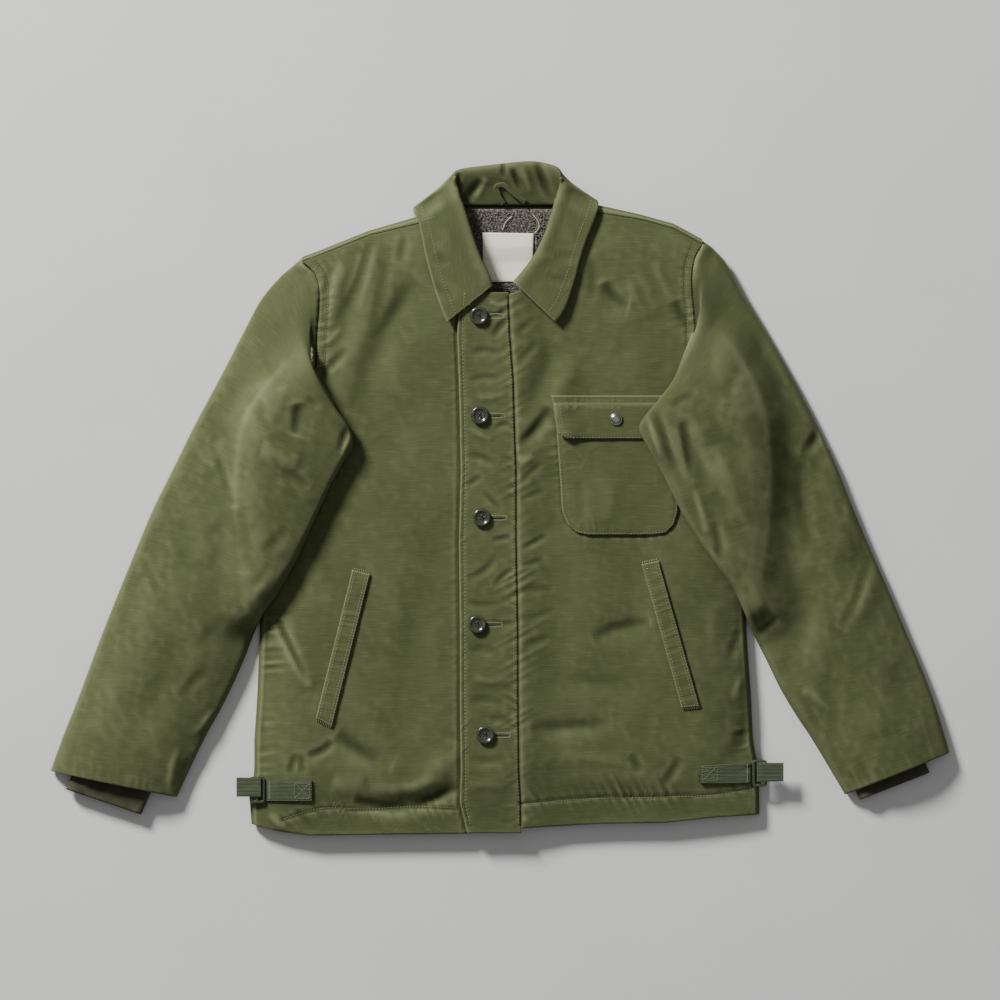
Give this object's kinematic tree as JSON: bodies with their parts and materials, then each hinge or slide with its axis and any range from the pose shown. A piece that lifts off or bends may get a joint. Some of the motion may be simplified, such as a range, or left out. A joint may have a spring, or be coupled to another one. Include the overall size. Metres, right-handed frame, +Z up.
{
  "type": "deck jacket",
  "caption": "Padded olive work jacket laid flat on its back: shirt collar, buttoned fly, chest pocket with flap, slanting hand pockets and webbing waist adjusters.",
  "frame": {"origin": "on the floor, under the middle of the whole laid-out jacket", "axes": "+X towards the wearer's left sleeve (the picture's right), +Y from the hem towards the collar, +Z up off the surface it lies on"},
  "size_m": [0.988, 0.7399, 0.0442],
  "materials": {
    "olive_cloth": "matt cotton sateen",
    "cuff_cloth": "matt",
    "grey_pile": "napped",
    "cream_label": "matt",
    "olive_webbing": "ribbed",
    "painted_steel": "worn satin",
    "dark_resin": "gloss",
    "nickel": "satin"
  },
  "bodies": {
    "root": {"back": "olive_cloth", "front_right": "olive_cloth", "front_left": "olive_cloth", "fly_facing": "olive_cloth", "sleeve_right": "olive_cloth", "sleeve_left": "olive_cloth", "collar": "olive_cloth", "chest_pocket": "olive_cloth", "pocket_flap": "olive_cloth", "welt_right": "olive_cloth", "welt_left": "olive_cloth", "inner_cuff_right": "cuff_cloth", "inner_cuff_left": "cuff_cloth", "neck_lining": "grey_pile", "neck_label": "cream_label", "hanger_loop": "olive_webbing", "strap_right": "olive_webbing", "strap_left": "olive_webbing", "web_end_right": "olive_webbing", "web_end_left": "olive_webbing", "buckle_right": "painted_steel", "buckle_left": "painted_steel", "button_1": "dark_resin", "button_2": "dark_resin", "button_3": "dark_resin", "button_4": "dark_resin", "button_5": "dark_resin", "pocket_snap": "nickel"}
  },
  "joints": []
}
